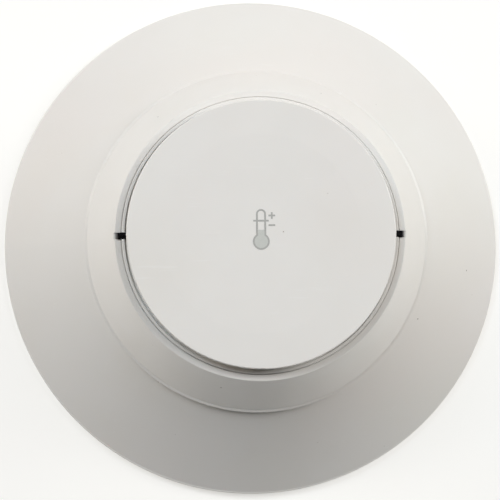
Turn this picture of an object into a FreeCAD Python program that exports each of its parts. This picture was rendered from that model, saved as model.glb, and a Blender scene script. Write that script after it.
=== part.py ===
"""Plug-in heat detector for a fire alarm system, in a wide flanged ceiling base.

Millimetres. The origin is the middle of the base's mounting face, +Z points into the room,
+Y is twelve o'clock on the front disc, and the two light windows are on the X axis.
Shown locked: the head turns anticlockwise, seen from the room, to come off.
"""
import FreeCAD, Part
import math
import os
import re
import Sketcher

V = FreeCAD.Vector
UP = V(0, 0, 1)
FOLDER = "parts"

# Driving sizes, grouped by piece. Lengths are millimetres, angles are degrees.
SIZES = {
    "base flange": {
        "rim_radius": 77.5,
        "rim_height": 3.0,
        "rim_round": 0.5,
        "rim_inner_radius": 75.1,
        "rim_inner_height": 1.5,
        "flange_top": 26.2,
        "flange_top_radius": 50.8,
        "flange_curve": 245,
        "flange_inner_top": 22.5,
    },
    "base socket": {
        "socket_radius": 48.6,
        "socket_outer_radius": 51.0,
        "floor_top": 2.5,
        "wire_hole_radius": 19,
        "wire_collar_radius": 20.6,
        "wire_collar_top": 5,
    },
    "base stiffening ribs": {
        "flange_rib_low": 0.4,
        "flange_rib_wall": 1.6,
        "flange_rib_end_height": 2.0,
        "flange_rib_root_height": 22.9,
        "flange_rib_lap": 0.3,
        "flange_rib_count": 12,
    },
    "base mounting slots": {
        "slot_radius": 2.3,
        "box_slot_place": 39,
        "box_slot_reach": 17.4,
        "gang_slot_place": 41.65,
        "gang_slot_reach": 10,
    },
    "bayonet": {
        "bayonet_count": 3,
        "bayonet_turn": 90,
        "ledge_radius": 45.2,
        "ledge_low": 16.5,
        "ledge_high": 18.7,
        "ledge_span": 24,
        "stop_low": 13.4,
        "stop_span": 3,
        "stop_back": 10,
        "lug_radius": 47.6,
        "lug_high": 16.2,
        "lug_span": 16,
    },
    "terminals": {
        "terminal_count": 4,
        "terminal_turn": 45,
        "block_near": 28,
        "block_far": 44,
        "block_half": 6.5,
        "block_top": 5,
        "strip_near": 29,
        "strip_far": 42.5,
        "strip_half": 6,
        "strip_top": 5.7,
        "leaf_near": 37,
        "leaf_tip": 5.2,
        "leaf_heel": 7.1,
        "leaf_heel_height": 8.1,
        "leaf_shoulder": 6.2,
        "leaf_shoulder_height": 10.7,
        "leaf_crown": 13.1,
        "leaf_crown_half": 0.7,
        "leaf_tip_height": 11.4,
        "leaf_wall": 0.6,
        "leaf_root": 4.8,
        "leaf_tip_slant": 0.15,
        "clamp_half": 3.8,
        "clamp_top": 6.8,
        "screw_place": 32.5,
        "screw_radius": 1.75,
        "screw_low": 1.2,
        "screw_hole_low": 1.0,
        "screw_head_radius": 3.4,
        "screw_head_top": 9.2,
        "screw_head_round": 0.9,
        "screw_cross_reach": 4.6,
        "screw_cross_wall": 0.9,
        "screw_cross_depth": 1.3,
        "screw_gap": 0.05,
    },
    "lock lever": {
        "lever_turn": 21,
        "lever_near": 40.5,
        "lever_far": 44.7,
        "lever_heel": 10,
        "lever_end": 8,
        "lever_low": 8,
        "lever_high": 9.2,
        "lever_pivot": 9,
        "lever_pin_radius": 1,
        "lever_pin_overhang": 1.2,
        "lever_tooth_foot": 4,
        "lever_tooth_shoulder": 6.4,
        "lever_tooth_top": 12.4,
        "lever_tab_end": 10.5,
        "lever_tab_inset": 1.1,
        "lever_score_depth": 0.5,
        "ear_near": 39.2,
        "ear_far": 46,
        "ear_wall": 1,
        "ear_half": 1.6,
        "ear_top": 10.4,
    },
    "head rear cover": {
        "cover_low": 14,
        "cover_wall": 2,
        "cover_radius": 44.4,
        "cover_inner_radius": 42.6,
        "cover_flange_low": 26.8,
        "cover_flange_top": 28.4,
        "cover_flange_radius": 48.5,
        "hook_count": 4,
        "hook_turn": 22.5,
        "hook_near": 42.8,
        "hook_far": 44,
        "hook_barb": 44.8,
        "hook_barb_low": 31.9,
        "hook_top": 33.8,
        "hook_span": 10,
        "post_count": 4,
        "post_place": 30,
        "post_radius": 2.6,
        "peg_radius": 1.2,
        "peg_top": 31,
        "peg_gap": 0.1,
    },
    "head outer housing": {
        "foot_low": 27.3,
        "foot_radius": 50.95,
        "foot_lip_top": 27.9,
        "skirt_foot_radius": 50.2,
        "skirt_foot": 28.3,
        "skirt_top_radius": 41.5,
        "skirt_top": 45.65,
        "collar_radius": 41.2,
        "collar_top": 46.0,
        "groove_radius": 39.65,
        "groove_low": 45.75,
        "well_radius": 39.4,
        "seat_top": 43,
        "seat_low": 41.2,
        "seat_radius": 33,
        "skirt_inner_top_radius": 41.4,
        "skirt_inner_foot_radius": 47.9,
        "foot_inner_radius": 48.8,
        "foot_shelf": 28.6,
        "catch_near": 44.2,
        "catch_far": 47.4,
        "catch_low": 30.3,
        "catch_high": 31.7,
        "catch_span": 14,
    },
    "head vent cap": {
        "disc_low": 49.5,
        "disc_top": 51.5,
        "disc_radius": 37.85,
        "disc_round": 0.35,
        "disc_chamfer": 0.45,
        "dish_radius": 28,
        "dish_depth": 0.3,
        "dish_curve": 1307,
        "lip_radius": 39.3,
        "lip_top": 46.7,
        "lip_wall_radius": 38.5,
        "channel_top": 45.6,
        "channel_low": 44.2,
        "lip_inner_radius": 33.2,
        "lip_chamfer": 0.2,
        "lip_skirt_inner_radius": 37,
        "lip_skirt_low": 43.05,
        "inner_rib_near": 33.4,
        "inner_rib_far": 35.6,
        "inner_rib_half": 0.7,
        "inner_rib_count": 8,
        "inner_rib_turn": 22.5,
        "edge_rib_near": 35,
        "edge_rib_far": 37.45,
        "edge_rib_half": 0.6,
        "edge_rib_turn": 90,
        "rib_lap": 0.1,
    },
    "light pipes": {
        "pipe_near": 34.2,
        "pipe_leg_far": 36.6,
        "pipe_half": 0.8,
        "pipe_low": 33.4,
        "pipe_bar_low": 45.4,
        "pipe_top": 46.8,
        "pipe_end": 41.1,
        "pipe_end_bevel": 0.35,
        "pipe_corner": 0.6,
        "pipe_notch_half": 0.95,
        "pipe_notch_far": 44,
        "pipe_gap": 0.05,
    },
    "inner baffle": {
        "baffle_low": 39.8,
        "baffle_high": 41.1,
        "baffle_radius": 35.6,
        "baffle_notch_near": 33.9,
        "mast_bore": 2.4,
        "mast_radius": 4.2,
        "mast_top": 46.2,
        "finger_near": 2.9,
        "finger_far": 4,
        "finger_half": 0.5,
        "finger_top": 48.9,
        "finger_count": 4,
        "finger_turn": 45,
        "leg_place": 26,
        "leg_radius": 1.6,
        "leg_count": 4,
        "leg_turn": 45,
    },
    "heat sensor": {
        "bead_low": 46.4,
        "bead_middle": 47.8,
        "bead_radius": 1.2,
        "lead_place": 0.6,
        "lead_radius": 0.25,
    },
    "circuit board": {
        "board_low": 28.6,
        "board_top": 30.2,
        "board_radius": 42.2,
    },
    "contact blades": {
        "blade_near": 36.5,
        "blade_far": 42,
        "blade_low": 13.15,
        "blade_span": 14,
        "blade_post_place": 38,
        "blade_post_radius": 1.1,
        "blade_post_top": 31,
    },
    "address dials": {
        "dial_x": 11,
        "dial_y": -22,
        "dial_radius": 5.6,
        "dial_low": 14.2,
        "dial_high": 15.8,
        "dial_slot_reach": 8.4,
        "dial_slot_half": 0.6,
        "dial_arrow_half": 1.8,
        "dial_slot_depth": 0.8,
        "dial_shaft_radius": 1.5,
        "dial_shaft_top": 26.5,
        "dial_gap": 0.05,
        "switch_half": 5.5,
        "switch_low": 24.6,
        "switch_bore_top": 27,
    },
    "parts on the board": {
        "chip_y": 14,
        "chip_half": 4.5,
        "chip_low": 30.35,
        "chip_top": 31.75,
        "chip_pin_count": 8,
        "chip_pin_row": 7,
        "chip_pin_half": 0.2,
        "chip_pin_reach": 1,
        "chip_pin_top": 31,
        "capacitor_x": 14.5,
        "capacitor_y": 8,
        "capacitor_step": 8,
        "capacitor_radius": 3.1,
        "capacitor_top": 37.7,
        "rectifier_x": 13,
        "rectifier_y": 5,
        "rectifier_half_x": 3.2,
        "rectifier_half_y": 2.3,
        "rectifier_top": 32.6,
        "reed_x": 0,
        "reed_y": -12,
        "reed_half": 6.5,
        "reed_radius": 1.2,
        "reed_lift": 1.5,
        "reed_lead_half": 8.5,
        "reed_lead_radius": 0.3,
        "resistor_x": 10,
        "resistor_y": -5,
        "resistor_half_x": 1,
        "resistor_half_y": 0.65,
        "resistor_top": 30.8,
        "resistor_line_gap": 1.95,
        "resistor_row": 15,
        "resistor_count": 6,
        "led_place": 35.4,
        "led_half_x": 1.4,
        "led_half_y": 1.2,
        "led_base_top": 31,
        "led_dome_radius": 1,
        "led_dome_top": 32.6,
    },
    "rear label": {
        "label_half_x": 13,
        "label_low_y": -4,
        "label_high_y": 12,
        "label_wall": 0.16,
    },
}

doc = FreeCAD.newDocument("HeatDetector")
sheet = doc.addObject("Spreadsheet::Sheet", "Sizes")


def fill_sheet():
    """Writes every driving size to the sheet under its own alias."""
    row = 1
    for group, sizes in SIZES.items():
        sheet.set(f"A{row}", group)
        row += 1
        for name, number in sizes.items():
            sheet.set(f"A{row}", name)
            sheet.set(f"B{row}", str(number))
            sheet.setAlias(f"B{row}", name)
            row += 1
    doc.recompute()


fill_sheet()
NAMES = {name for sizes in SIZES.values() for name in sizes}


def value(expression):
    """What an expression in the sheet's aliases comes to."""
    return float(sheet.evalExpression(expression))


def bound(expression):
    """The same expression as another object has to write it, with the sheet's name."""

    def full_name(word):
        return f"Sizes.{word[0]}" if word[0] in NAMES else word[0]

    return re.sub(r"[a-z_]+", full_name, expression)


def bind(item, field, expression):
    """Ties a property to the sheet, unless the expression is a plain number."""
    if re.search("[a-z]", expression):
        item.setExpression(field, bound(expression))


# Outlines. A loop is a (x, y, radius) circle, or a list of corners. A corner is (x, y), or
# (x, y, side, radius) where the run to the next corner is an arc with its centre on that side.


def box(x_low, x_high, y_low, y_high):
    return [(x_low, y_low), (x_high, y_low), (x_high, y_high), (x_low, y_high)]


def strip(x_low, x_high, half):
    """A box that is evenly about the X axis."""
    return box(x_low, x_high, f"-({half})", half)


def slot(place, reach, radius):
    """A round-ended slot along X, each end two quarter turns."""
    low, high = f"{place} - {reach} / 2", f"{place} + {reach} / 2"
    return [
        (f"{low} + {radius}", f"-{radius}"),
        (f"{high} - {radius}", f"-{radius}", "left", radius),
        (high, "0", "left", radius),
        (f"{high} - {radius}", radius),
        (f"{low} + {radius}", radius, "left", radius),
        (low, "0", "left", radius),
    ]


def pin_point(sketch, item, end, x, y):
    """Dimensions one point of a sketch from the sketch's origin."""
    for kind, expression in (("DistanceX", x), ("DistanceY", y)):
        rule = Sketcher.Constraint(kind, -1, 1, item, end, value(expression))
        bind(sketch, f"Constraints[{sketch.addConstraint(rule)}]", expression)


def pin_radius(sketch, item, radius):
    rule = Sketcher.Constraint("Radius", item, value(radius))
    bind(sketch, f"Constraints[{sketch.addConstraint(rule)}]", radius)


def arc_between(start, end, side, radius):
    """The short arc from start to end, kept anticlockwise as sketches hold it."""
    chord = end - start
    sign = 1 if side == "left" else -1
    across = V(-chord.y, chord.x, 0).normalize() * sign
    middle = start + chord * 0.5 + across * math.sqrt(radius**2 - (chord.Length / 2) ** 2)
    angles = [math.atan2(p.y - middle.y, p.x - middle.x) for p in (start, end)[::sign]]
    return Part.ArcOfCircle(Part.Circle(middle, UP, radius), *angles)


def add_outline(sketch, corners):
    places = [V(value(corner[0]), value(corner[1]), 0) for corner in corners]
    ends = []
    for i, corner in enumerate(corners):
        start, end = places[i], places[(i + 1) % len(places)]
        if len(corner) == 2:
            item = sketch.addGeometry(Part.LineSegment(start, end))
            ends.append((item, 1, 2))
            continue
        side, radius = corner[2:]
        item = sketch.addGeometry(arc_between(start, end, side, value(radius)))
        pin_radius(sketch, item, radius)
        ends.append((item, 1, 2) if side == "left" else (item, 2, 1))
    for i, (item, start, end) in enumerate(ends):
        following, following_start, _ = ends[(i + 1) % len(ends)]
        rule = Sketcher.Constraint("Coincident", item, end, following, following_start)
        sketch.addConstraint(rule)
        pin_point(sketch, item, start, corners[i][0], corners[i][1])


def add_circle(sketch, x, y, radius):
    round_line = Part.Circle(V(value(x), value(y), 0), UP, value(radius))
    item = sketch.addGeometry(round_line)
    pin_radius(sketch, item, radius)
    pin_point(sketch, item, 3, x, y)


def origin_item(body, role):
    return next(item for item in body.Origin.OriginFeatures if item.Role == role)


def sketch_on(body, name, loops, plane="XY_Plane", height="0", turn="0"):
    """A sketch on one of the body's own planes, raised by height and turned about Z."""
    sketch = body.newObject("Sketcher::SketchObject", name)
    sketch.AttachmentSupport = [(origin_item(body, plane), "")]
    sketch.MapMode = "FlatFace"
    upright = UP if plane == "XY_Plane" else V(0, 1, 0)
    turned = FreeCAD.Rotation(upright, value(turn))
    sketch.AttachmentOffset = FreeCAD.Placement(V(0, 0, value(height)), turned)
    bind(sketch, "AttachmentOffset.Base.z", height)
    for loop in loops:
        if isinstance(loop, tuple):
            add_circle(sketch, *loop)
        else:
            add_outline(sketch, loop)
    return sketch


# Features of a body


def new_body(name, turn="0", x="0", y="0", half_turns=0):
    """An empty body that stands turned about Z, with its own axis at x, y before the turn."""
    body = doc.addObject("PartDesign::Body", name)
    body.Label = name
    body.AllowCompound = True
    turned = FreeCAD.Rotation(UP, value(turn) + 180 * half_turns)
    place = turned.multVec(V(value(x), value(y), 0))
    body.Placement = FreeCAD.Placement(place, turned)
    return body


def quarter_body(name, number, x="0"):
    """Body number 1 to 4 of those that repeat about Z, one at each terminal."""
    turn = f"terminal_turn + {number - 1} * 360 / terminal_count"
    return new_body(f"{name}_{number}", turn, x)


def extrude(kind, body, name, sketch, length, both_ways=False):
    feature = body.newObject(kind, name)
    feature.Profile = sketch
    feature.Midplane = both_ways
    feature.Length = value(length)
    bind(feature, "Length", length)
    sketch.Visibility = False
    return feature


def pad(body, name, loops, low, high, turn="0", plane="XY_Plane"):
    sketch = sketch_on(body, f"{name}_sketch", loops, plane, low, turn)
    return extrude("PartDesign::Pad", body, name, sketch, f"({high}) - ({low})")


def even_pad(body, name, loops, half, turn="0", plane="XZ_Plane"):
    """A pad to both sides of an upright plane."""
    sketch = sketch_on(body, f"{name}_sketch", loops, plane, "0", turn)
    return extrude("PartDesign::Pad", body, name, sketch, f"2 * {half}", True)


def pocket(body, name, loops, low, high, turn="0"):
    """Cuts downwards from high to low, and makes sure that something was cut."""
    doc.recompute()
    before = body.Shape.Volume
    sketch = sketch_on(body, f"{name}_sketch", loops, "XY_Plane", high, turn)
    feature = extrude("PartDesign::Pocket", body, name, sketch, f"({high}) - ({low})")
    doc.recompute()
    if not body.Shape.Volume < before:
        raise RuntimeError(f"{body.Label}: {name} cuts nothing")
    return feature


def turned(body, name, corners, turn="0", span="360"):
    """Turns an outline in R, Z about the body's Z axis, through span degrees if given."""
    sketch = sketch_on(body, f"{name}_sketch", [corners], "XZ_Plane", "0", turn)
    feature = body.newObject("PartDesign::Revolution", name)
    feature.Profile = sketch
    feature.ReferenceAxis = (sketch, ["V_Axis"])
    feature.Angle = value(span)
    feature.Midplane = True
    bind(feature, "Angle", span)
    sketch.Visibility = False
    return feature


def around(body, feature, count):
    """Repeats a feature evenly about the body's Z axis."""
    pattern = body.newObject("PartDesign::PolarPattern", f"{feature.Name}_around")
    pattern.Originals = [feature]
    pattern.Axis = (origin_item(body, "Z_Axis"), [""])
    pattern.Angle = 360
    pattern.Occurrences = int(value(count))
    bind(pattern, "Occurrences", count)
    body.Tip = pattern
    return pattern


def in_row(body, feature, axis, length, count):
    """Repeats a feature along one of the body's own axes."""
    pattern = body.newObject("PartDesign::LinearPattern", f"{feature.Name}_row")
    pattern.Originals = [feature]
    pattern.Direction = (origin_item(body, axis), [""])
    pattern.Length = value(length)
    pattern.Occurrences = int(value(count))
    bind(pattern, "Length", length)
    bind(pattern, "Occurrences", count)
    body.Tip = pattern
    return pattern


# The base


def make_base_body():
    body = new_body("base_body")
    shell = [
        ("wire_hole_radius", "0"),
        ("socket_outer_radius", "0"),
        ("socket_outer_radius", "flange_inner_top", "left", "flange_curve"),
        ("rim_inner_radius", "rim_inner_height"),
        ("rim_inner_radius", "0"),
        ("rim_radius", "0"),
        ("rim_radius", "rim_height - rim_round", "left", "rim_round"),
        ("rim_radius - rim_round", "rim_height", "right", "flange_curve"),
        ("flange_top_radius", "flange_top"),
        ("socket_radius", "flange_top"),
        ("socket_radius", "floor_top"),
        ("wire_collar_radius", "floor_top"),
        ("wire_collar_radius", "wire_collar_top"),
        ("wire_hole_radius", "wire_collar_top"),
    ]
    turned(body, "shell", shell)
    add_flange_ribs(body)
    add_bayonet_ledges(body)
    add_terminal_blocks(body)
    add_lever_ears(body)
    add_mounting_slots(body)


def add_flange_ribs(body):
    root, end = "socket_outer_radius - flange_rib_lap", "rim_inner_radius + flange_rib_lap"
    rib = [
        (root, "flange_rib_low"),
        (end, "flange_rib_low"),
        (end, "flange_rib_end_height"),
        (root, "flange_rib_root_height"),
    ]
    feature = even_pad(body, "flange_rib", [rib], "flange_rib_wall / 2")
    around(body, feature, "flange_rib_count")


def add_bayonet_ledges(body):
    """Ledges that the head's lugs sit under, and a stop that each lug rests against."""
    wall = "socket_radius + rib_lap"
    ledge = box("ledge_radius", wall, "ledge_low", "ledge_high")
    feature = turned(body, "ledge", ledge, "bayonet_turn", "ledge_span")
    around(body, feature, "bayonet_count")
    stop = box("ledge_radius", wall, "stop_low", "ledge_low + rib_lap")
    feature = turned(body, "ledge_stop", stop, "bayonet_turn - stop_back", "stop_span")
    around(body, feature, "bayonet_count")


def add_terminal_blocks(body):
    block = strip("block_near", "block_far", "block_half")
    feature = pad(body, "block", [block], "floor_top", "block_top", "terminal_turn")
    around(body, feature, "terminal_count")
    hole = ("screw_place", "0", "screw_radius + screw_gap")
    feature = pocket(body, "screw_hole", [hole], "screw_hole_low", "block_top", "terminal_turn")
    around(body, feature, "terminal_count")


def add_lever_ears(body):
    """Two ears with open notches that the lock lever's pin snaps down into."""
    low, high = "-lever_pivot - ear_half", "-lever_pivot + ear_half"
    ears = [
        box("ear_near", "ear_near + ear_wall", low, high),
        box("ear_far - ear_wall", "ear_far", low, high),
    ]
    pad(body, "ears", ears, "floor_top", "ear_top", "lever_turn")
    pin = "(lever_pin_radius + screw_gap)"
    notch = box("ear_near", "ear_far", f"-lever_pivot - {pin}", f"-lever_pivot + {pin}")
    middle = "(lever_low + lever_high) / 2"
    pocket(body, "ear_notch", [notch], f"{middle} - {pin}", "ear_top", "lever_turn")


def add_mounting_slots(body):
    box_slot = slot("box_slot_place", "box_slot_reach", "slot_radius")
    feature = pocket(body, "box_slot", [box_slot], "0", "floor_top")
    around(body, feature, "2")
    gang_slot = slot("gang_slot_place", "gang_slot_reach", "slot_radius")
    feature = pocket(body, "gang_slot", [gang_slot], "0", "floor_top", "90")
    around(body, feature, "2")


def make_contact_spring(number):
    """Screw strip with a bent leaf whose crown presses on the head's contact blade."""
    body = quarter_body("contact_spring", number)
    plate = strip("strip_near", "strip_far", "strip_half")
    hole = ("screw_place", "0", "screw_radius + screw_gap")
    pad(body, "plate", [plate, hole], "block_top", "strip_top")
    leaf = [
        ("leaf_root", "strip_top"),
        ("strip_half", "strip_top"),
        ("leaf_heel", "leaf_heel_height"),
        ("leaf_shoulder", "leaf_shoulder_height"),
        ("leaf_crown_half", "leaf_crown"),
        ("-leaf_crown_half", "leaf_crown"),
        ("-leaf_tip", "leaf_tip_height"),
        ("-leaf_tip + leaf_tip_slant", "leaf_tip_height - leaf_wall"),
        ("-leaf_crown_half", "leaf_crown - leaf_wall"),
        ("leaf_crown_half", "leaf_crown - leaf_wall"),
        ("leaf_shoulder - leaf_wall", "leaf_shoulder_height - leaf_wall"),
        ("leaf_heel - leaf_wall", "leaf_heel_height"),
    ]
    pad(body, "leaf", [leaf], "leaf_near", "strip_far", "0", "YZ_Plane")


def make_wire_clamp(number):
    body = quarter_body("wire_clamp", number, "screw_place")
    plate = strip("-clamp_half", "clamp_half", "clamp_half")
    hole = ("0", "0", "screw_radius + screw_gap")
    pad(body, "plate", [plate, hole], "strip_top", "clamp_top")


def make_terminal_screw(number):
    body = quarter_body("terminal_screw", number, "screw_place")
    outline = [
        ("0", "screw_low"),
        ("screw_radius", "screw_low"),
        ("screw_radius", "clamp_top"),
        ("screw_head_radius", "clamp_top"),
        ("screw_head_radius", "screw_head_top - screw_head_round", "left", "screw_head_round"),
        ("screw_head_radius - screw_head_round", "screw_head_top"),
        ("0", "screw_head_top"),
    ]
    turned(body, "screw", outline)
    cross = strip("-screw_cross_reach / 2", "screw_cross_reach / 2", "screw_cross_wall / 2")
    low = "screw_head_top - screw_cross_depth"
    for name, turn in (("slot_along", "0"), ("slot_across", "90")):
        pocket(body, name, [cross], low, "screw_head_top", turn)


def make_lock_lever():
    """Tamper lever with its break-off tab still on, so its tooth stands clear of the head."""
    body = new_body("lock_lever", "lever_turn")
    arm = box("lever_near", "lever_far", "-lever_heel", "lever_end")
    pad(body, "arm", [arm], "lever_low", "lever_high")
    pin = ("-lever_pivot", "(lever_low + lever_high) / 2", "lever_pin_radius")
    pin_start = "lever_near - lever_pin_overhang"
    pad(body, "pin", [pin], pin_start, "lever_far + lever_pin_overhang", "0", "YZ_Plane")
    tooth = [
        ("lever_tooth_foot", "lever_high"),
        ("lever_end", "lever_high"),
        ("lever_end", "lever_tooth_top"),
        ("lever_tooth_shoulder", "lever_tooth_top"),
    ]
    tooth_start = "lever_near + lever_score_depth"
    pad(body, "tooth", [tooth], tooth_start, "lever_far - lever_score_depth", "0", "YZ_Plane")
    tab_near, tab_far = "lever_near + lever_tab_inset", "lever_far - lever_tab_inset"
    tab = box(tab_near, tab_far, "lever_end", "lever_tab_end")
    pad(body, "tab", [tab], "lever_low", "lever_high - lever_score_depth")


# The head


def make_outer_housing():
    body = new_body("outer_housing")
    shell = [
        ("foot_inner_radius", "foot_low"),
        ("foot_radius", "foot_low"),
        ("foot_radius", "foot_lip_top"),
        ("skirt_foot_radius", "skirt_foot"),
        ("skirt_top_radius", "skirt_top"),
        ("collar_radius", "collar_top"),
        ("groove_radius", "collar_top"),
        ("groove_radius", "groove_low"),
        ("well_radius", "groove_low"),
        ("well_radius", "seat_top"),
        ("seat_radius", "seat_top"),
        ("seat_radius", "seat_low"),
        ("skirt_inner_top_radius", "seat_low"),
        ("skirt_inner_foot_radius", "foot_shelf"),
        ("foot_inner_radius", "foot_shelf"),
    ]
    turned(body, "shell", shell)
    catch = box("catch_near", "catch_far", "catch_low", "catch_high")
    feature = turned(body, "catch", catch, "hook_turn", "catch_span")
    around(body, feature, "hook_count")
    seat_notch = strip("seat_radius - rib_lap", "groove_radius + rib_lap", "pipe_notch_half")
    feature = pocket(body, "seat_notch", [seat_notch], "seat_low", "collar_top")
    around(body, feature, "2")
    collar_notch = strip("groove_radius", "pipe_notch_far", "pipe_notch_half")
    low = "pipe_bar_low - pipe_gap"
    feature = pocket(body, "collar_notch", [collar_notch], low, "collar_top")
    around(body, feature, "2")


def make_vent_cap():
    """Front disc on ribs above a channelled ring: air enters between the disc and the ring."""
    body = new_body("vent_cap")
    disc = [
        ("0", "disc_low"),
        ("disc_radius - disc_chamfer", "disc_low"),
        ("disc_radius", "disc_low + disc_chamfer"),
        ("disc_radius", "disc_top - disc_round", "left", "disc_round"),
        ("disc_radius - disc_round", "disc_top"),
        ("dish_radius", "disc_top", "right", "dish_curve"),
        ("0", "disc_top - dish_depth"),
    ]
    turned(body, "disc", disc)
    low, high = "channel_top - rib_lap", "disc_low + rib_lap"
    inner = strip("inner_rib_near", "inner_rib_far", "inner_rib_half")
    around(body, pad(body, "inner_rib", [inner], low, high, "inner_rib_turn"), "inner_rib_count")
    edge = strip("edge_rib_near", "edge_rib_far", "edge_rib_half")
    around(body, pad(body, "edge_rib", [edge], low, high, "edge_rib_turn"), "2")
    ring = [
        ("lip_inner_radius", "channel_low"),
        ("lip_skirt_inner_radius", "channel_low"),
        ("lip_skirt_inner_radius", "lip_skirt_low"),
        ("lip_radius", "lip_skirt_low"),
        ("lip_radius", "lip_top - lip_chamfer"),
        ("lip_radius - lip_chamfer", "lip_top"),
        ("lip_wall_radius", "lip_top"),
        ("lip_wall_radius", "channel_top"),
        ("lip_inner_radius", "channel_top"),
    ]
    turned(body, "ring", ring)
    notch = strip("lip_inner_radius - rib_lap", "lip_radius + rib_lap", "pipe_notch_half")
    around(body, pocket(body, "pipe_notch", [notch], "lip_skirt_low", "lip_top"), "2")


def make_light_pipe(name, half_turns):
    """Leg up from the LED, a slanted corner that turns the light, and the bar that shows."""
    body = new_body(name, half_turns=half_turns)
    outline = [
        ("pipe_near", "pipe_low"),
        ("pipe_leg_far", "pipe_low"),
        ("pipe_leg_far", "pipe_bar_low"),
        ("pipe_end", "pipe_bar_low"),
        ("pipe_end - pipe_end_bevel", "pipe_top - pipe_end_bevel"),
        ("pipe_end - 2 * pipe_end_bevel", "pipe_top"),
        ("pipe_near + pipe_corner", "pipe_top"),
        ("pipe_near", "pipe_top - pipe_corner"),
    ]
    even_pad(body, "pipe", [outline], "pipe_half")


def make_inner_baffle():
    """Shield under the air chamber, with a mast whose fingers guard the sensor bead."""
    body = new_body("inner_baffle")
    plate = [
        ("mast_bore", "baffle_low"),
        ("baffle_radius", "baffle_low"),
        ("baffle_radius", "baffle_high"),
        ("mast_radius", "baffle_high"),
        ("mast_radius", "mast_top"),
        ("mast_bore", "mast_top"),
    ]
    turned(body, "plate", plate)
    finger = strip("finger_near", "finger_far", "finger_half")
    feature = pad(body, "finger", [finger], "mast_top - rib_lap", "finger_top", "finger_turn")
    around(body, feature, "finger_count")
    leg = ("leg_place", "0", "leg_radius")
    feature = pad(body, "leg", [leg], "board_top", "baffle_low + rib_lap", "leg_turn")
    around(body, feature, "leg_count")
    notch = strip("baffle_notch_near", "baffle_radius + rib_lap", "pipe_notch_half + rib_lap")
    around(body, pocket(body, "notch", [notch], "baffle_low", "baffle_high"), "2")


def make_rear_cover():
    body = new_body("rear_cover")
    plate_top = "cover_low + cover_wall"
    pan = [
        ("0", "cover_low"),
        ("cover_radius", "cover_low"),
        ("cover_radius", "cover_flange_low"),
        ("cover_flange_radius", "cover_flange_low"),
        ("cover_flange_radius", "cover_flange_top"),
        ("cover_inner_radius", "cover_flange_top"),
        ("cover_inner_radius", plate_top),
        ("0", plate_top),
    ]
    turned(body, "pan", pan)
    lug = box("cover_radius - rib_lap", "lug_radius", "cover_low", "lug_high")
    feature = turned(body, "lug", lug, "bayonet_turn", "lug_span")
    around(body, feature, "bayonet_count")
    hook = [
        ("hook_near", "cover_flange_top - rib_lap"),
        ("hook_far", "cover_flange_top - rib_lap"),
        ("hook_far", "hook_barb_low"),
        ("hook_barb", "hook_barb_low"),
        ("hook_far", "hook_top"),
        ("hook_near", "hook_top"),
    ]
    feature = turned(body, "hook", hook, "hook_turn", "hook_span")
    around(body, feature, "hook_count")
    post = ("post_place", "0", "post_radius")
    around(body, pad(body, "post", [post], plate_top, "board_low"), "post_count")
    peg = ("post_place", "0", "peg_radius")
    around(body, pad(body, "peg", [peg], "board_low", "peg_top"), "post_count")
    cut_rear_cover_windows(body, plate_top)


def cut_rear_cover_windows(body, plate_top):
    """Windows for the two address dials and holes for the contact blades' posts."""
    windows = [(x, "dial_y", "dial_radius + dial_gap") for x in ("-dial_x", "dial_x")]
    pocket(body, "dial_windows", windows, "cover_low", plate_top)
    hole = ("blade_post_place", "0", "blade_post_radius + peg_gap")
    feature = pocket(body, "blade_hole", [hole], "cover_low", plate_top, "terminal_turn")
    around(body, feature, "terminal_count")


def make_circuit_board():
    body = new_body("circuit_board")
    pad(body, "board", [("0", "0", "board_radius")], "board_low", "board_top")
    peg_hole = ("post_place", "0", "peg_radius + peg_gap")
    around(body, pocket(body, "peg_hole", [peg_hole], "board_low", "board_top"), "post_count")
    blade_hole = ("blade_post_place", "0", "blade_post_radius + peg_gap")
    feature = pocket(
        body, "blade_hole", [blade_hole], "board_low", "board_top", "terminal_turn"
    )
    around(body, feature, "terminal_count")


def make_contact_blade(number):
    body = quarter_body("contact_blade", number)
    blade = box("blade_near", "blade_far", "blade_low", "cover_low")
    turned(body, "blade", blade, "0", "blade_span")
    post = ("blade_post_place", "0", "blade_post_radius")
    pad(body, "post", [post], "cover_low - rib_lap", "blade_post_top")


def make_heat_sensor():
    body = new_body("thermistor_bead")
    bead = [
        ("0", "bead_low"),
        ("bead_radius", "bead_low"),
        ("bead_radius", "bead_middle", "left", "bead_radius"),
        ("0", "bead_middle + bead_radius"),
    ]
    turned(body, "bead", bead)
    body = new_body("thermistor_leads")
    leads = [(x, "0", "lead_radius") for x in ("-lead_place", "lead_place")]
    pad(body, "leads", leads, "board_top", "bead_low")


def make_address_dial(name, x):
    body = new_body(name, x=x, y="dial_y")
    dial = [
        ("0", "dial_low"),
        ("dial_radius", "dial_low"),
        ("dial_radius", "dial_high"),
        ("dial_shaft_radius", "dial_high"),
        ("dial_shaft_radius", "dial_shaft_top"),
        ("0", "dial_shaft_top"),
    ]
    turned(body, "dial", dial)
    slot_end = "dial_slot_reach / 2"
    groove = strip(f"-{slot_end}", slot_end, "dial_slot_half")
    pocket(body, "driver_slot", [groove], "dial_low", "dial_low + dial_slot_depth")
    arrow = [
        (slot_end, "dial_arrow_half"),
        (slot_end, "-dial_arrow_half"),
        ("dial_radius - dial_slot_half", "0"),
    ]
    pocket(body, "arrow", [arrow], "dial_low", "dial_low + dial_slot_depth / 2")


def make_address_switch(name, x):
    body = new_body(name, x=x, y="dial_y")
    case = strip("-switch_half", "switch_half", "switch_half")
    pad(body, "case", [case], "switch_low", "board_low")
    bore = ("0", "0", "dial_shaft_radius + dial_gap")
    pocket(body, "bore", [bore], "switch_low", "switch_bore_top")


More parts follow.
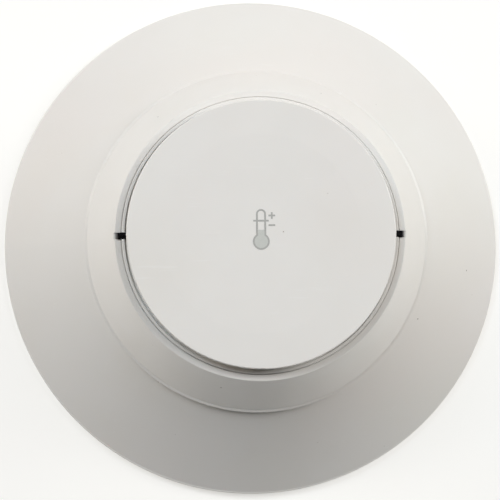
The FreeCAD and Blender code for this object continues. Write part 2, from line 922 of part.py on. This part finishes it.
def make_microcontroller():
    """Square chip with a row of pins along each of its four sides."""
    body = new_body("microcontroller", y="chip_y")
    case = strip("-chip_half", "chip_half", "chip_half")
    pad(body, "case", [case], "chip_low", "chip_top")
    near, far = "chip_half - chip_pin_half", "chip_half + chip_pin_reach"
    reaches = ((f"-({far})", f"-({near})"), (near, far))
    first = "-chip_pin_row / 2"
    width = (f"{first} - chip_pin_half", f"{first} + chip_pin_half")
    side_pins = [box(*reach, *width) for reach in reaches]
    feature = pad(body, "side_pins", side_pins, "board_top", "chip_pin_top")
    in_row(body, feature, "Y_Axis", "chip_pin_row", "chip_pin_count")
    end_pins = [box(*width, *reach) for reach in reaches]
    feature = pad(body, "end_pins", end_pins, "board_top", "chip_pin_top")
    in_row(body, feature, "X_Axis", "chip_pin_row", "chip_pin_count")


def make_smoothing_capacitors():
    body = new_body("smoothing_capacitors")
    cans = [
        ("-capacitor_x", y, "capacitor_radius")
        for y in ("capacitor_y", "capacitor_y - capacitor_step")
    ]
    pad(body, "cans", cans, "board_top", "capacitor_top")


def make_bridge_rectifier():
    body = new_body("bridge_rectifier", x="rectifier_x", y="rectifier_y")
    case = strip("-rectifier_half_x", "rectifier_half_x", "rectifier_half_y")
    pad(body, "case", [case], "board_top", "rectifier_top")


def make_reed_switch():
    """Glass reed switch that the test magnet closes, lying on its two leads."""
    body = new_body("reed_switch", x="reed_x", y="reed_y")
    height = "board_top + reed_lift"
    tube = ("0", height, "reed_radius")
    even_pad(body, "glass", [tube], "reed_half", plane="YZ_Plane")
    wire = ("0", height, "reed_lead_radius")
    even_pad(body, "leads", [wire], "reed_lead_half", plane="YZ_Plane")
    foot_x = "reed_lead_half - reed_lead_radius"
    feet = [(x, "0", "reed_lead_radius") for x in (f"-({foot_x})", foot_x)]
    pad(body, "feet", feet, "board_top", height)


def make_chip_resistors():
    """Two lines of surface-mounted resistors."""
    body = new_body("chip_resistors", x="resistor_x", y="resistor_y")
    ends = ("-resistor_half_x", "resistor_half_x")
    chips = [
        box(*ends, f"{y} - resistor_half_y", f"{y} + resistor_half_y")
        for y in ("0", "-resistor_line_gap")
    ]
    feature = pad(body, "chips", chips, "board_top", "resistor_top")
    in_row(body, feature, "X_Axis", "resistor_row", "resistor_count")


def make_led(name, half_turns):
    body = new_body(name, x="led_place", half_turns=half_turns)
    case = strip("-led_half_x", "led_half_x", "led_half_y")
    pad(body, "case", [case], "board_top", "led_base_top")
    dome = ("0", "0", "led_dome_radius")
    pad(body, "dome", [dome], "led_base_top - rib_lap", "led_dome_top")


def make_rear_label():
    body = new_body("rear_label")
    sheet_outline = box("-label_half_x", "label_half_x", "label_low_y", "label_high_y")
    pad(body, "sheet", [sheet_outline], "cover_low - label_wall", "cover_low")


def make_all():
    make_base_body()
    make_lock_lever()
    for number in range(1, int(value("terminal_count")) + 1):
        make_contact_spring(number)
        make_wire_clamp(number)
        make_terminal_screw(number)
        make_contact_blade(number)
    make_outer_housing()
    make_vent_cap()
    make_inner_baffle()
    make_rear_cover()
    make_circuit_board()
    make_heat_sensor()
    for side, half_turns in (("right", 0), ("left", 1)):
        make_light_pipe(f"light_pipe_{side}", half_turns)
        make_led(f"led_{side}", half_turns)
    for place, x in (("tens", "-dial_x"), ("units", "dial_x")):
        make_address_dial(f"address_dial_{place}", x)
        make_address_switch(f"address_switch_{place}", x)
    make_microcontroller()
    make_smoothing_capacitors()
    make_bridge_rectifier()
    make_reed_switch()
    make_chip_resistors()
    make_rear_label()


def check_and_write():
    """Stops on any failed object, then writes each body to its own STEP file."""
    doc.recompute()
    for item in doc.Objects:
        if {"Invalid", "Error"} & set(item.State):
            raise RuntimeError(f"{item.Label} failed: {item.State}")
    bodies = [item for item in doc.Objects if item.TypeId == "PartDesign::Body"]
    for body in bodies:
        if body.Shape.isNull() or not body.Shape.isValid() or not body.Shape.Solids:
            raise RuntimeError(f"{body.Label} has no valid solid")
    os.makedirs(FOLDER, exist_ok=True)
    for body in bodies:
        body.Shape.exportStep(os.path.join(FOLDER, f"{body.Label}.step"))
        volume = body.Shape.Volume / 1000
        print(f"{body.Label}: {len(body.Shape.Solids)} solid(s), {volume:.3f} cm3")


make_all()
check_and_write()
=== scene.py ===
"""Looks of the heat detector: materials, the printed pictogram, floor, light and camera.

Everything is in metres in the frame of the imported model: the base's mounting face is at z = 0,
+Z points into the room and +Y is twelve o'clock on the front disc.
"""
import math

import bmesh
import bpy
from mathutils import Matrix, Vector


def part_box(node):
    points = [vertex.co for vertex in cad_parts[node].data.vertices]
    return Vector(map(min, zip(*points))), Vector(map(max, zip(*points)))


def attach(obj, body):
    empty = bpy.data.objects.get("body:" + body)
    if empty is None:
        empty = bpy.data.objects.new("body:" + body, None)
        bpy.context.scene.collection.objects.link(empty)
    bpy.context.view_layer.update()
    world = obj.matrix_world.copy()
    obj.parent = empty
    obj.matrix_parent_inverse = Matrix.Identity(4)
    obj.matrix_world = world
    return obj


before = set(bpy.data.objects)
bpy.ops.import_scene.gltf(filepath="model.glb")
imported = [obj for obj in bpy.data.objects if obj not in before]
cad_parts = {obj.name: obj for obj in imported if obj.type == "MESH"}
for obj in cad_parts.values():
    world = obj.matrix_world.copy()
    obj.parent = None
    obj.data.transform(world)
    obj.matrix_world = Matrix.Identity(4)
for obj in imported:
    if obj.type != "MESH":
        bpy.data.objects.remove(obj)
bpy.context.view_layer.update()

MM = 0.001

# --- helpers for node materials --------------------------------------------------------------

# The colour sockets of a Mix node have the same names as its others, so they go by number.
MIX_FACTOR, MIX_A, MIX_B, MIX_COLOUR = 0, 6, 7, 2
CREVICE_SAMPLES = 8
EDGE_SAMPLES = 6
# How alike the rounded and the flat normal are on a flat face and right on an edge.
FLAT_LIKENESS, EDGE_LIKENESS = 0.99, 0.85
# Stretches for streaks that run along X, and for marks that run along it and are finer across.
DRAWN_OUT = (0.06, 1, 1)
STREAKED = (0.1, 1, 1)
FAINTLY_STREAKED = (0.2, 1, 1)
DRAWN_FINE = (1, 8, 8)


class Look:
    """A material with short ways to add the nodes that its surface needs.

    Sizes given to its methods are in millimetres.
    """

    def __init__(self, name, **settings):
        self.material = bpy.data.materials.new(name)
        self.material.use_nodes = True
        self.tree = self.material.node_tree
        self.shader = self.tree.nodes["Principled BSDF"]
        self.set(**settings)

    def set(self, **settings):
        """Sets or links the main shader's inputs, with _ for a space in their names."""
        for name, given in settings.items():
            self.feed(self.shader.inputs[name.replace("_", " ")], given)

    def feed(self, socket, given):
        """Links a node's output to the socket, or writes a plain value into it."""
        if isinstance(given, bpy.types.NodeSocket):
            self.tree.links.new(given, socket)
        else:
            socket.default_value = given

    def add(self, kind, inputs=(), **fields):
        """Adds a node with these inputs, by name or number, and these settings."""
        made = self.tree.nodes.new(kind)
        for field, setting in fields.items():
            setattr(made, field, setting)
        for key, given in dict(inputs).items():
            self.feed(made.inputs[key], given)
        return made

    def place(self, size=1.0, stretch=(1, 1, 1)):
        """Coordinates fixed to the piece; a stretch under 1 draws features out along its axis."""
        where = self.add("ShaderNodeTexCoord").outputs["Object"]
        scale = [s / (size * MM) for s in stretch]
        mapping = self.add("ShaderNodeMapping", {"Vector": where, "Scale": scale})
        return mapping.outputs["Vector"]

    def noise(self, size, detail=2.0, roughness=0.5, stretch=(1, 1, 1)):
        """Noise with features about size across, as a number near 0.5."""
        inputs = {
            "Vector": self.place(size, stretch),
            "Scale": 1.0,
            "Detail": detail,
            "Roughness": roughness,
        }
        return self.add("ShaderNodeTexNoise", inputs).outputs["Fac"]

    def maths(self, operation, a, b=0.0):
        """The result of a sum of two numbers, or of a function of the first."""
        made = self.add("ShaderNodeMath", {0: a, 1: b}, operation=operation)
        return made.outputs[0]

    def spread(self, number, from_low, from_high, to_low, to_high):
        """Moves a number from one range to another, and keeps it there."""
        inputs = {
            "Value": number,
            "From Min": from_low,
            "From Max": from_high,
            "To Min": to_low,
            "To Max": to_high,
        }
        return self.add("ShaderNodeMapRange", inputs).outputs["Result"]

    def patches(self, size, low, high, amount=1.0, **kind):
        """Noise as patches: 0 where it is under low, rising to amount where it is over high."""
        return self.spread(self.noise(size, **kind), low, high, 0.0, amount)

    def mix(self, factor, a, b):
        """Colour a where the factor is 0, colour b where it is 1."""
        inputs = {MIX_FACTOR: factor, MIX_A: a, MIX_B: b}
        return self.add("ShaderNodeMix", inputs, data_type="RGBA").outputs[MIX_COLOUR]

    def tint(self, colour, paint, mask, share):
        """The colour with paint over it, which covers that share of it where the mask is 1."""
        return self.mix(self.maths("MULTIPLY", mask, share), colour, paint)

    def bump(self, height, depth, normal=None):
        """Relief of that depth where height goes from 0 to 1, on top of another normal."""
        inputs = {"Height": height, "Distance": depth * MM, "Strength": 1.0}
        if normal is not None:
            inputs["Normal"] = normal
        return self.add("ShaderNodeBump", inputs).outputs["Normal"]

    def specks(self, cell, radius, share):
        """1 in round specks, with a speck in a share of the cells of a scattered grid."""
        grid = self.add("ShaderNodeTexVoronoi", {"Vector": self.place(cell), "Scale": 1.0})
        near = self.maths("LESS_THAN", grid.outputs["Distance"], radius / cell)
        pick = self.add("ShaderNodeSeparateColor", {"Color": grid.outputs["Color"]})
        chosen = self.maths("LESS_THAN", pick.outputs["Red"], share)
        return self.maths("MULTIPLY", near, chosen)

    def crevice(self, reach):
        """1 in the open, falling towards 0 where surfaces closer than reach hem it in."""
        inputs = {"Distance": reach * MM}
        made = self.add("ShaderNodeAmbientOcclusion", inputs, samples=CREVICE_SAMPLES)
        return made.outputs["AO"]

    def edge(self, reach):
        """1 along edges, falling to 0 about reach away from them."""
        softened = self.add("ShaderNodeBevel", {"Radius": reach * MM}, samples=EDGE_SAMPLES)
        face = self.add("ShaderNodeNewGeometry")
        inputs = {0: softened.outputs["Normal"], 1: face.outputs["Normal"]}
        likeness = self.add("ShaderNodeVectorMath", inputs, operation="DOT_PRODUCT")
        return self.spread(likeness.outputs["Value"], FLAT_LIKENESS, EDGE_LIKENESS, 0.0, 1.0)


def rgb(red, green, blue):
    """An opaque colour, as linear light."""
    return (red, green, blue, 1.0)


# --- materials --------------------------------------------------------------------------------

# White moulding, and what wear and dust do to it, with painted shade in its crevices and a painted
# highlight along its edges.
IVORY = rgb(0.83, 0.812, 0.785)
CREAM = rgb(0.80, 0.775, 0.73)
BLUSH = rgb(0.835, 0.78, 0.76)
# The grime colour also paints shade into crevices and gaps.
GRIME_AND_CREVICE_SHADE = rgb(0.30, 0.27, 0.22)
MOST_GRIME_AND_SHADE = 0.16
# The rubbed white also paints a highlight along edges.
RUBBED_AND_HIGHLIT_WHITE = rgb(0.9, 0.9, 0.89)
DARK_DUST = rgb(0.12, 0.09, 0.06)
PALE_DUST = rgb(0.33, 0.29, 0.24)
SATIN_LOW, SATIN_HIGH = 0.36, 0.5
# What wear takes off the roughness, and a scuff adds to it.
WEAR_STEP = 0.12

# Light windows.
SMOKE = rgb(0.006, 0.006, 0.007)
HAZE = rgb(0.2, 0.19, 0.18)

# Metals, clean and tarnished.
STEEL, DULL_STEEL = rgb(0.62, 0.61, 0.58), rgb(0.42, 0.38, 0.32)
PLATING, DULL_PLATING = rgb(0.72, 0.71, 0.68), rgb(0.5, 0.48, 0.44)
BRASS, DULL_BRASS = rgb(0.76, 0.6, 0.28), rgb(0.48, 0.33, 0.13)

# Circuit board: the colours between its tracks and over them, and the tracks' own pattern.
MASK_LOW = rgb(0.012, 0.10, 0.045)
MASK_OVER_COPPER = rgb(0.03, 0.22, 0.09)
TRACK_CELL = 4.5
TRACK_TURNS = 26.0

# Small mouldings, new and rubbed.
EPOXY = rgb(0.02, 0.02, 0.022)
BLACK, RUBBED_BLACK = rgb(0.018, 0.018, 0.019), rgb(0.05, 0.05, 0.05)
BLUE, RUBBED_BLUE = rgb(0.05, 0.11, 0.3), rgb(0.1, 0.17, 0.36)
SLEEVE, RUBBED_SLEEVE = rgb(0.015, 0.02, 0.05), rgb(0.05, 0.05, 0.08)
GLOSSY = 0.25

# Clear parts.
CLEAR = rgb(1, 1, 1)
RED_LENS = rgb(0.8, 0.06, 0.04)
GREEN_GLASS = rgb(0.75, 0.88, 0.82)

# Label, print and floor. Each ink has a full and a faded colour.
PAPER, PAPER_FIBRE = rgb(0.74, 0.74, 0.72), rgb(0.62, 0.61, 0.58)
INK_GREY = (rgb(0.40, 0.40, 0.385), rgb(0.48, 0.48, 0.46))
INK_PALE = (rgb(0.57, 0.583, 0.552), rgb(0.62, 0.63, 0.60))
FLOOR_DARKER, FLOOR_PALER = rgb(0.44, 0.44, 0.438), rgb(0.46, 0.46, 0.458)
FLOOR_GLOW = rgb(1.0, 0.99, 0.95)


def white_moulding():
    """Warm white moulded ABS: spark-textured, slightly yellowed in patches, worn and handled, with
    painted shade in its crevices and a painted highlight on its edges.
    """
    look = Look("white_moulding", IOR=1.5)
    openness = look.crevice(reach=1.6)
    exposed = look.spread(openness, 0.5, 0.8, 0.0, 1.0)
    # Edge mask for wear, which also paints a highlight along the edges.
    worn = look.maths("MULTIPLY", look.edge(reach=0.4), exposed)
    scratches = look.patches(size=0.7, low=0.62, high=0.72, detail=3, stretch=DRAWN_OUT)
    handled = look.patches(size=16, low=0.5, high=0.62)
    scuffs = look.maths("MULTIPLY", scratches, handled)

    yellowed = look.patches(size=38, low=0.42, high=0.62, amount=0.45, detail=3)
    colour = look.mix(yellowed, IVORY, CREAM)
    flushed = look.patches(size=60, low=0.52, high=0.7, amount=0.35, detail=1, roughness=0.4)
    colour = look.mix(flushed, colour, BLUSH)
    # Painted shade: crevices and gaps go darker where ambient occlusion finds them hemmed in, part
    # grime and part shade.
    colour = look.mix(look.spread(openness, 0.2, 0.8, MOST_GRIME_AND_SHADE, 0.0), colour, GRIME_AND_CREVICE_SHADE)
    # Painted highlight: edges are lightened, as a highlight as well as rubbed wear.
    colour = look.tint(colour, RUBBED_AND_HIGHLIT_WHITE, worn, share=0.45)
    dark_specks = look.specks(cell=6, radius=0.28, share=0.16)
    colour = look.tint(colour, DARK_DUST, dark_specks, share=0.6)
    pale_specks = look.specks(cell=3.1, radius=0.16, share=0.035)
    colour = look.tint(colour, PALE_DUST, pale_specks, share=0.4)
    colour = look.tint(colour, RUBBED_AND_HIGHLIT_WHITE, scuffs, share=0.25)

    satin = look.noise(size=9, detail=4, roughness=0.6)
    roughness = look.spread(satin, 0.35, 0.7, SATIN_LOW, SATIN_HIGH)
    roughness = look.maths("ADD", roughness, look.maths("MULTIPLY", scuffs, WEAR_STEP))
    roughness = look.maths("SUBTRACT", roughness, look.maths("MULTIPLY", worn, WEAR_STEP))
    waves = look.bump(look.noise(size=22, detail=1, roughness=0.4), depth=0.05)
    grain = look.noise(size=0.28, roughness=0.6)
    normal = look.bump(grain, depth=0.012, normal=waves)
    look.set(Base_Color=colour, Roughness=roughness, Normal=normal)
    look.set(Subsurface_Weight=0.06, Subsurface_Scale=1.2 * MM)
    look.shader.inputs["Subsurface Radius"].default_value = (1.0, 0.85, 0.7)
    return look.material


def smoked_window():
    """Polished dark polycarbonate, with a little dust and a few hairline scratches."""
    look = Look("smoked_window", IOR=1.58)
    haze = look.patches(size=1.2, low=0.45, high=0.75, amount=0.06, detail=3, roughness=0.6)
    colour = look.mix(haze, SMOKE, HAZE)
    scratch = look.noise(size=0.5, stretch=STREAKED)
    look.set(Base_Color=colour, Roughness=look.spread(scratch, 0.4, 0.7, 0.08, 0.22))
    look.set(Normal=look.bump(scratch, depth=0.004), Coat_Weight=0.5, Coat_Roughness=0.05)
    return look.material


def metal(name, colour, tarnish, roughness):
    """Worn sheet metal with fine drawing marks, and tarnish in patches."""
    look = Look(name, Metallic=1.0)
    marks = look.noise(size=0.35, detail=3, roughness=0.6, stretch=DRAWN_FINE)
    tarnished = look.patches(size=4, low=0.45, high=0.68, amount=0.5, detail=4, roughness=0.6)
    look.set(Base_Color=look.mix(tarnished, colour, tarnish))
    look.set(Roughness=look.spread(marks, 0.3, 0.7, roughness - 0.1, roughness + 0.12))
    look.set(Normal=look.bump(marks, depth=0.006))
    return look.material


def board_laminate():
    """Green solder mask over copper tracks, which stand up a little under it."""
    look = Look("board_laminate", IOR=1.5)
    inputs = {"Vector": look.place(TRACK_CELL), "Scale": 1.0}
    cells = look.add("ShaderNodeTexVoronoi", inputs, distance="MANHATTAN", feature="F1")
    wave = look.maths("SINE", look.maths("MULTIPLY", cells.outputs["Distance"], TRACK_TURNS))
    tracks = look.spread(wave, 0.2, 0.5, 0.0, 1.0)
    roughness = look.spread(look.noise(size=3, detail=3), 0.4, 0.6, 0.22, 0.36)
    look.set(Base_Color=look.mix(tracks, MASK_LOW, MASK_OVER_COPPER), Roughness=roughness)
    look.set(Normal=look.bump(tracks, depth=0.035), Coat_Weight=0.3)
    return look.material


def plain_moulding(name, colour, worn, roughness=0.45):
    """Small moulded part: fine grain, rubbed lighter in patches."""
    look = Look(name, IOR=1.5)
    rubbed = look.patches(size=2.5, low=0.45, high=0.75, amount=0.5, detail=4, roughness=0.65)
    look.set(Base_Color=look.mix(rubbed, colour, worn))
    sheen = look.noise(size=1.5, detail=3)
    look.set(Roughness=look.spread(sheen, 0.35, 0.65, roughness - 0.08, roughness + 0.08))
    look.set(Normal=look.bump(look.noise(size=0.2, roughness=0.6), depth=0.01))
    return look.material


def glassy(name, colour, clearness):
    """Clear moulded or blown part with faint streaks."""
    look = Look(name, IOR=1.5, Transmission_Weight=clearness)
    streaks = look.noise(size=0.8, stretch=FAINTLY_STREAKED)
    look.set(Base_Color=look.mix(look.spread(streaks, 0.4, 0.7, 0.0, 0.2), colour, CLEAR))
    look.set(Roughness=look.spread(streaks, 0.3, 0.7, 0.03, 0.12))
    return look.material


def label_film():
    """Blank matt film with a paper-like tooth."""
    look = Look("label_film", IOR=1.45)
    fibre = look.noise(size=0.5, detail=4, roughness=0.7)
    look.set(Base_Color=look.mix(look.spread(fibre, 0.4, 0.6, 0.0, 0.3), PAPER, PAPER_FIBRE))
    look.set(Roughness=0.6, Normal=look.bump(fibre, depth=0.008))
    return look.material


def print_ink(name, colour, faded):
    """Pad-printed ink: uneven cover over the plastic's own grain."""
    look = Look(name, IOR=1.45)
    cover = look.patches(size=0.35, low=0.3, high=0.7, detail=3, roughness=0.7)
    look.set(Base_Color=look.mix(cover, colour, faded), Roughness=0.5)
    look.set(Normal=look.bump(look.noise(size=0.28, roughness=0.6), depth=0.012))
    return look.material


def studio_floor():
    """Plain pale floor with the faintest unevenness, lit a little from within like a light table."""
    look = Look("pale_floor", Roughness=0.75, IOR=1.3)
    tone = look.patches(size=90, low=0.3, high=0.7)
    look.set(Base_Color=look.mix(tone, FLOOR_DARKER, FLOOR_PALER))
    look.set(Emission_Color=FLOOR_GLOW, Emission_Strength=0.58)
    return look.material


# One material for each of the record's slots.
LOOKS = {
    "white_plastic": white_moulding(),
    "smoked_window": smoked_window(),
    "spring_steel": metal("spring_steel", STEEL, DULL_STEEL, roughness=0.3),
    "plated_steel": metal("plated_steel", PLATING, DULL_PLATING, roughness=0.34),
    "contact_brass": metal("contact_brass", BRASS, DULL_BRASS, roughness=0.3),
    "board_laminate": board_laminate(),
    "sensor_epoxy": plain_moulding("sensor_epoxy", EPOXY, RUBBED_BLACK, GLOSSY),
    "led_lens": glassy("led_lens", RED_LENS, clearness=0.6),
    "dial_plastic": plain_moulding("dial_plastic", BLUE, RUBBED_BLUE),
    "component_black": plain_moulding("component_black", BLACK, RUBBED_BLACK),
    "capacitor_sleeve": plain_moulding("capacitor_sleeve", SLEEVE, RUBBED_SLEEVE, GLOSSY),
    "reed_glass": glassy("reed_glass", GREEN_GLASS, clearness=0.85),
    "label_film": label_film(),
}


def dress_frame():
    """Gives every CAD node the material of its slot in the record."""
    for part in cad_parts.values():
        for place in part.material_slots:
            place.material = LOOKS[place.material.name.split(".")[0]]


# --- the printed pictogram --------------------------------------------------------------------

# The print lies in the middle of the front disc, which is dished below its rim.
DISC_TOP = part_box("vent_cap")[1][2]
DISH_DEPTH = 0.3 * MM
INK = 0.05 * MM
INK_BITE = INK / 4
BULB_STEPS = 48
CAP_STEPS = 24
# The bulb's middle. The sizes after it are measured from there.
BULB = Vector((-0.2 * MM, -2.22 * MM))
BULB_RADIUS = 2.34 * MM
TUBE_HALF = 1.39 * MM
STROKE = 0.48 * MM
TUBE_TOP = 9.09 * MM
FILL_TOP = 3.3 * MM
TICK_HEIGHT = 5.83 * MM
TICK_HALF = 2.14 * MM
SIGN_X = 3.02 * MM
SIGN_HALF = 0.92 * MM
PLUS_HEIGHT = 7.27 * MM
MINUS_HEIGHT = 4.57 * MM


def thermometer(bulb, half, top, rounded=True):
    """Closed outline of a thermometer about its bulb's middle, anticlockwise."""
    turn = math.asin(half / bulb)
    points = []
    for step in range(BULB_STEPS + 1):
        angle = math.pi / 2 + turn + (2 * math.pi - 2 * turn) * step / BULB_STEPS
        points.append((bulb * math.cos(angle), bulb * math.sin(angle)))
    if not rounded:
        return points + [(half, top), (-half, top)]
    for step in range(CAP_STEPS + 1):
        angle = math.pi * step / CAP_STEPS
        points.append((half * math.cos(angle), top - half + half * math.sin(angle)))
    return points


def bar(x_low, x_high, y_low, y_high):
    """Outline of an upright rectangle, anticlockwise."""
    return [(x_low, y_low), (x_high, y_low), (x_high, y_high), (x_low, y_high)]


def plus_outline(x, y, reach, half):
    """Outline of a plus sign about (x, y), anticlockwise."""
    turns = [(1, 1), (-1, 1), (-1, -1), (1, -1)]
    corners = []
    for number, (across, up) in enumerate(turns):
        arm = [(reach, half), (half, half), (half, reach)]
        if number % 2:
            arm.reverse()
        corners += [(x + across * a, y + up * b) for a, b in arm]
    return corners


def raise_outline(mesh, outer, inner=None):
    """Adds a thin solid with that outline, and a hole if an inner outline is given."""
    low = DISC_TOP - DISH_DEPTH - INK_BITE
    high = DISC_TOP - DISH_DEPTH + INK

    def ring(points, z):
        return [mesh.verts.new((BULB.x + x, BULB.y + y, z)) for x, y in points]

    loops = [(ring(points, low), ring(points, high)) for points in (outer, inner) if points]
    for number, (under, over) in enumerate(loops):
        for i in range(len(under)):
            j = (i + 1) % len(under)
            wall = (under[i], under[j], over[j], over[i])
            mesh.faces.new(wall if number == 0 else wall[::-1])
    (under, over) = loops[0]
    if inner is None:
        mesh.faces.new(over)
        mesh.faces.new(under[::-1])
        return
    (inner_under, inner_over) = loops[1]
    for i in range(len(over)):
        j = (i + 1) % len(over)
        mesh.faces.new((over[i], over[j], inner_over[j], inner_over[i]))
        mesh.faces.new((under[j], under[i], inner_under[i], inner_under[j]))


def printed_piece(name, shapes, ink):
    """One piece of print from (outline,) or (outline, hole) shapes, on the head."""
    mesh = bmesh.new()
    for shape in shapes:
        raise_outline(mesh, *shape)
    bmesh.ops.recalc_face_normals(mesh, faces=mesh.faces)
    data = bpy.data.meshes.new(name)
    mesh.to_mesh(data)
    mesh.free()
    piece = bpy.data.objects.new(name, data)
    bpy.context.collection.objects.link(piece)
    data.materials.append(ink)
    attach(piece, "head")


def make_pictogram():
    """A generic thermometer with plus and minus signs, in two greys."""
    inner_bulb, inner_half = BULB_RADIUS - STROKE, TUBE_HALF - STROKE
    outer = thermometer(BULB_RADIUS, TUBE_HALF, TUBE_TOP)
    inner = thermometer(inner_bulb, inner_half, TUBE_TOP - STROKE)
    tick_low, tick_high = TICK_HEIGHT - STROKE / 2, TICK_HEIGHT + STROKE / 2
    tick_runs = ((-TICK_HALF, -TUBE_HALF), (-inner_half, inner_half), (TUBE_HALF, TICK_HALF))
    lines = [(outer, inner)]
    lines += [(bar(low, high, tick_low, tick_high),) for low, high in tick_runs]
    lines.append((plus_outline(SIGN_X, PLUS_HEIGHT, SIGN_HALF, STROKE / 2),))
    minus_low, minus_high = MINUS_HEIGHT - STROKE / 2, MINUS_HEIGHT + STROKE / 2
    lines.append((bar(SIGN_X - SIGN_HALF, SIGN_X + SIGN_HALF, minus_low, minus_high),))
    dark = print_ink("ink_line", *INK_GREY)
    pale = print_ink("ink_fill", *INK_PALE)
    printed_piece("pictogram_lines", lines, dark)
    fill = thermometer(inner_bulb, inner_half, FILL_TOP, rounded=False)
    printed_piece("pictogram_fill", [(fill,)], pale)


# --- floor, light and camera ------------------------------------------------------------------

FLOOR_SIZE = 6.0
# The floor lies just under the mounting face, so that the two don't share a plane.
FLOOR_DROP = 0.2 * MM


def make_floor():
    """A wide plain floor, which isn't part of the object."""
    bpy.ops.mesh.primitive_plane_add(size=FLOOR_SIZE, location=(0, 0, -FLOOR_DROP))
    floor = bpy.context.object
    floor.name = "floor"
    floor.data.materials.append(studio_floor())


def aim(thing, target, roll=0.0):
    """Points a light or the camera at target, with twelve o'clock at the top of its view."""
    back = (thing.location - Vector(target)).normalized()
    top = Vector((math.sin(roll), math.cos(roll), 0))
    right = top.cross(back).normalized()
    thing.rotation_euler = Matrix((right, back.cross(right), back)).transposed().to_euler()


def soft_box(name, place, watts, colour):
    """A round soft light that shines at the detector."""
    data = bpy.data.lights.new(name, "AREA")
    data.shape = "DISK"
    data.size = SOFT_BOX_SIZE
    data.energy = watts
    data.color = colour
    light = bpy.data.objects.new(name, data)
    light.location = place
    bpy.context.collection.objects.link(light)
    aim(light, (0, 0, 0))


# How strongly the wall lights the detector, and how bright it looks behind it.
WALL_LIGHT = 0.006
WALL_TONE = 0.8
WALL_COLOUR = rgb(1.0, 0.98, 0.94)
SOFT_BOX_SIZE = 0.5
# Each soft box: place, power in watts and colour.
LIGHTS = {
    "left_low": ((-0.954, 0.347, 0.54), 4.15, (1.0, 0.88, 0.75)),
    "left_high": ((-0.466, 0.466, 0.942), 5.77, (0.845, 0.927, 1.0)),
    "right_high": ((0.6, 0.27, 0.942), 4.15, (1.0, 0.97, 0.96)),
    "right_low": ((0.954, 0.347, 0.54), 5.05, (0.97, 0.97, 0.91)),
}


def make_light():
    """Soft boxes at each side, low and high; six o'clock stays in shade."""
    for name, (place, watts, colour) in LIGHTS.items():
        soft_box(name, place, watts, colour)
    make_surround()


def make_surround():
    """A pale studio wall behind everything that gives hardly any light of its own."""
    world = bpy.data.worlds.new("surround")
    world.use_nodes = True
    tree = world.node_tree
    wall = tree.nodes["Background"]
    wall.inputs["Color"].default_value = WALL_COLOUR
    seen = tree.nodes.new("ShaderNodeLightPath").outputs["Is Camera Ray"]
    strength = tree.nodes.new("ShaderNodeMapRange")
    strength.inputs["To Min"].default_value = WALL_LIGHT
    strength.inputs["To Max"].default_value = WALL_TONE
    tree.links.new(seen, strength.inputs["Value"])
    tree.links.new(strength.outputs["Result"], wall.inputs["Strength"])
    bpy.context.scene.world = world


CAMERA_PLACE = Vector((-23.4, -29.5, 429.4)) * MM
CAMERA_TARGET = Vector((-0.76, -1.33, 1.5)) * MM
CAMERA_ROLL = math.radians(0.65)
# The lens and the sensor's width are in millimetres, as Blender takes them.
CAMERA_LENS = 97.85
SENSOR = 36.0
NEAR_CLIP = 10 * MM


def make_camera():
    """Nearly face on, from a little below and to the left of the detector's axis."""
    data = bpy.data.cameras.new("camera")
    data.lens = CAMERA_LENS
    data.sensor_width = SENSOR
    data.clip_start = NEAR_CLIP
    camera = bpy.data.objects.new("camera", data)
    camera.location = CAMERA_PLACE
    bpy.context.collection.objects.link(camera)
    aim(camera, CAMERA_TARGET, CAMERA_ROLL)
    bpy.context.scene.camera = camera


dress_frame()
make_pictogram()
make_floor()
make_light()
make_camera()
bpy.context.scene.view_settings.view_transform = "Standard"
bpy.context.scene.view_settings.look = "None"
